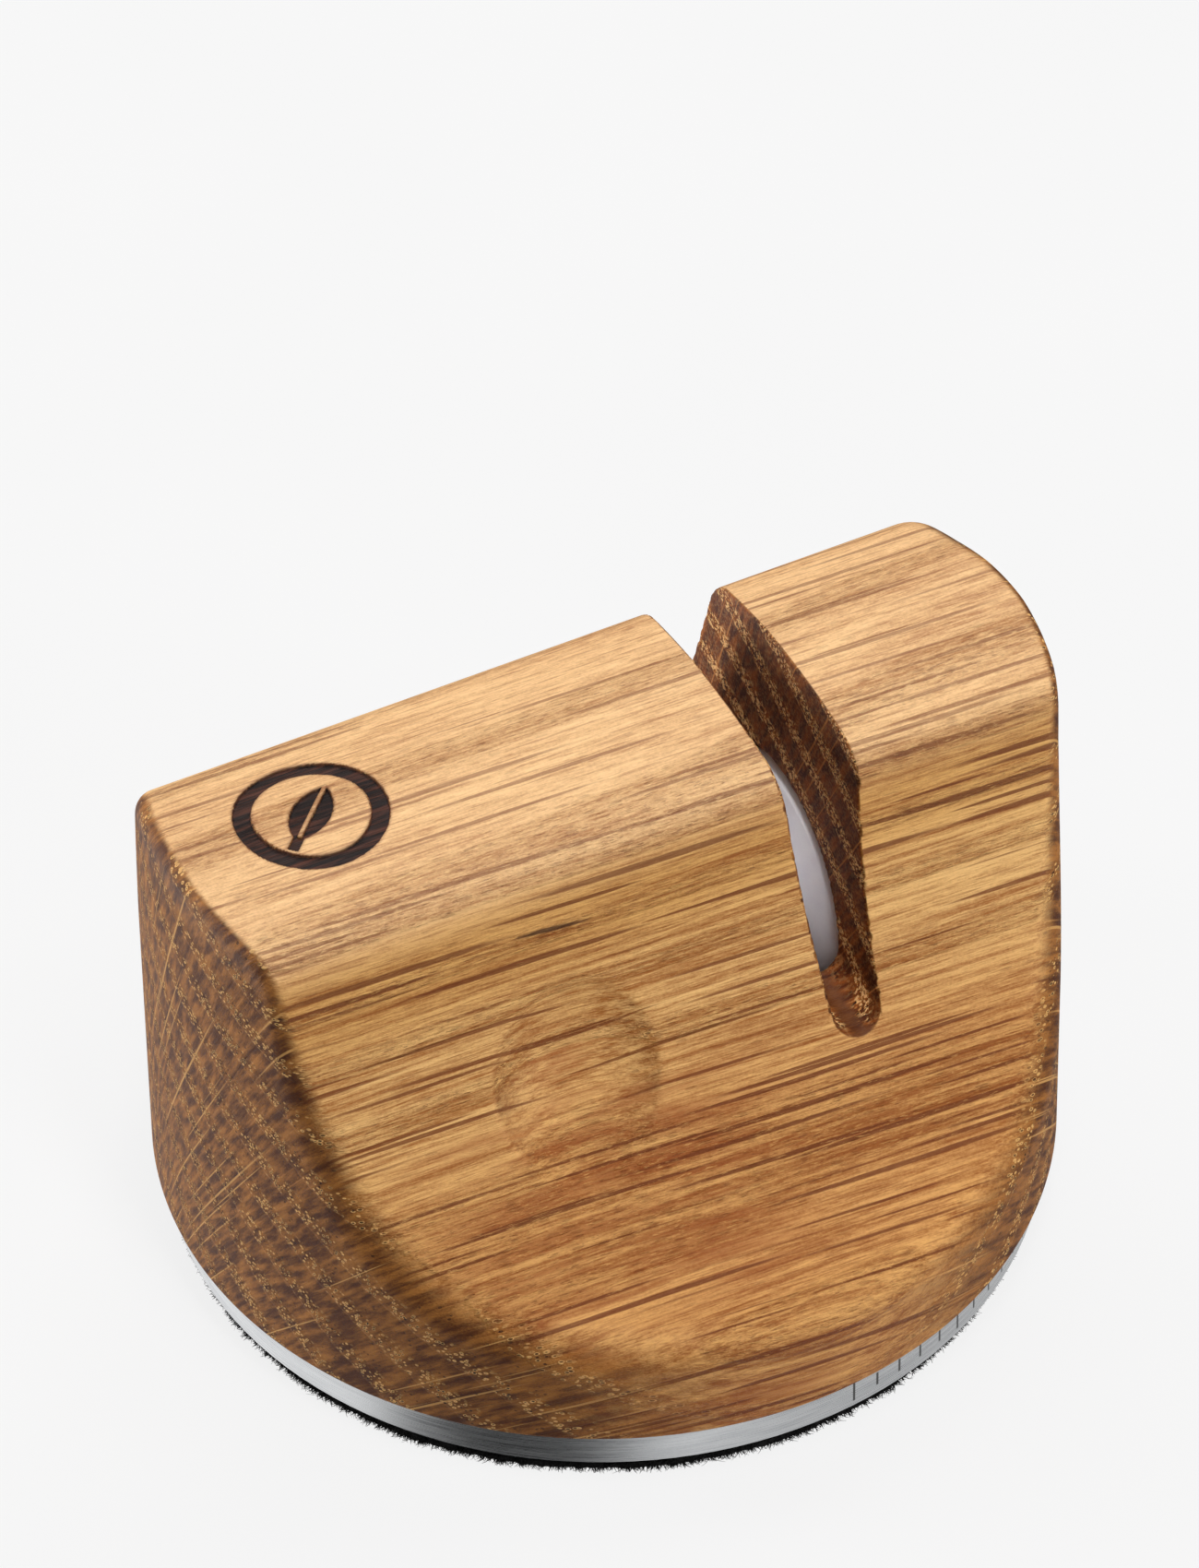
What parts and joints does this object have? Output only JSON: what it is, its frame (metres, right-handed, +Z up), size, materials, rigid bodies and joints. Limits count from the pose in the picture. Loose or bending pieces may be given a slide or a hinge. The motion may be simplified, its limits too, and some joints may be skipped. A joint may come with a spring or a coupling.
{
  "type": "knife sharpener",
  "caption": "Countertop rolling knife sharpener: saddle-shaped oak body with a knife slot over a grooved ceramic wheel, on a round steel base with a non-slip pad.",
  "frame": {"origin": "centre of the round footprint, on the underside of the grip pad", "axes": "+Z up; +X along the wood grain towards the knife slot; -Y is the front, where the thumb rests; the knife is drawn along Y"},
  "size_m": [0.08, 0.08, 0.0521],
  "materials": {
    "oak": "oiled oak, satin",
    "plate_steel": "satin turned",
    "grip": "matt, fibrous edge",
    "cradle_plastic": "fine moulded grain",
    "hub_plastic": "smooth moulded",
    "ceramic": "fine ground, semi-gloss",
    "pin_steel": "ground",
    "screw_steel": "zinc plated"
  },
  "bodies": {
    "sharpener_body": {"wood_body": "oak", "base_plate": "plate_steel", "grip_pad": "grip", "wheel_cradle": "cradle_plastic", "axle_pin": "pin_steel", "washer_left": "pin_steel", "washer_right": "pin_steel", "plate_screw_1": "screw_steel", "plate_screw_2": "screw_steel", "plate_screw_3": "screw_steel", "plate_screw_4": "screw_steel", "cradle_screw_1": "screw_steel", "cradle_screw_2": "screw_steel"},
    "grinding_wheel": {"grinding_wheel_left": "ceramic", "grinding_wheel_right": "ceramic", "wheel_hub": "hub_plastic", "hub_cap": "hub_plastic"}
  },
  "joints": [
    {"name": "wheel_spin", "type": "hinge", "parent": "sharpener_body", "child": "grinding_wheel", "pos_m": [0.0144, 0, 0.0265], "axis": [1, 0, 0], "continuous": true}
  ]
}
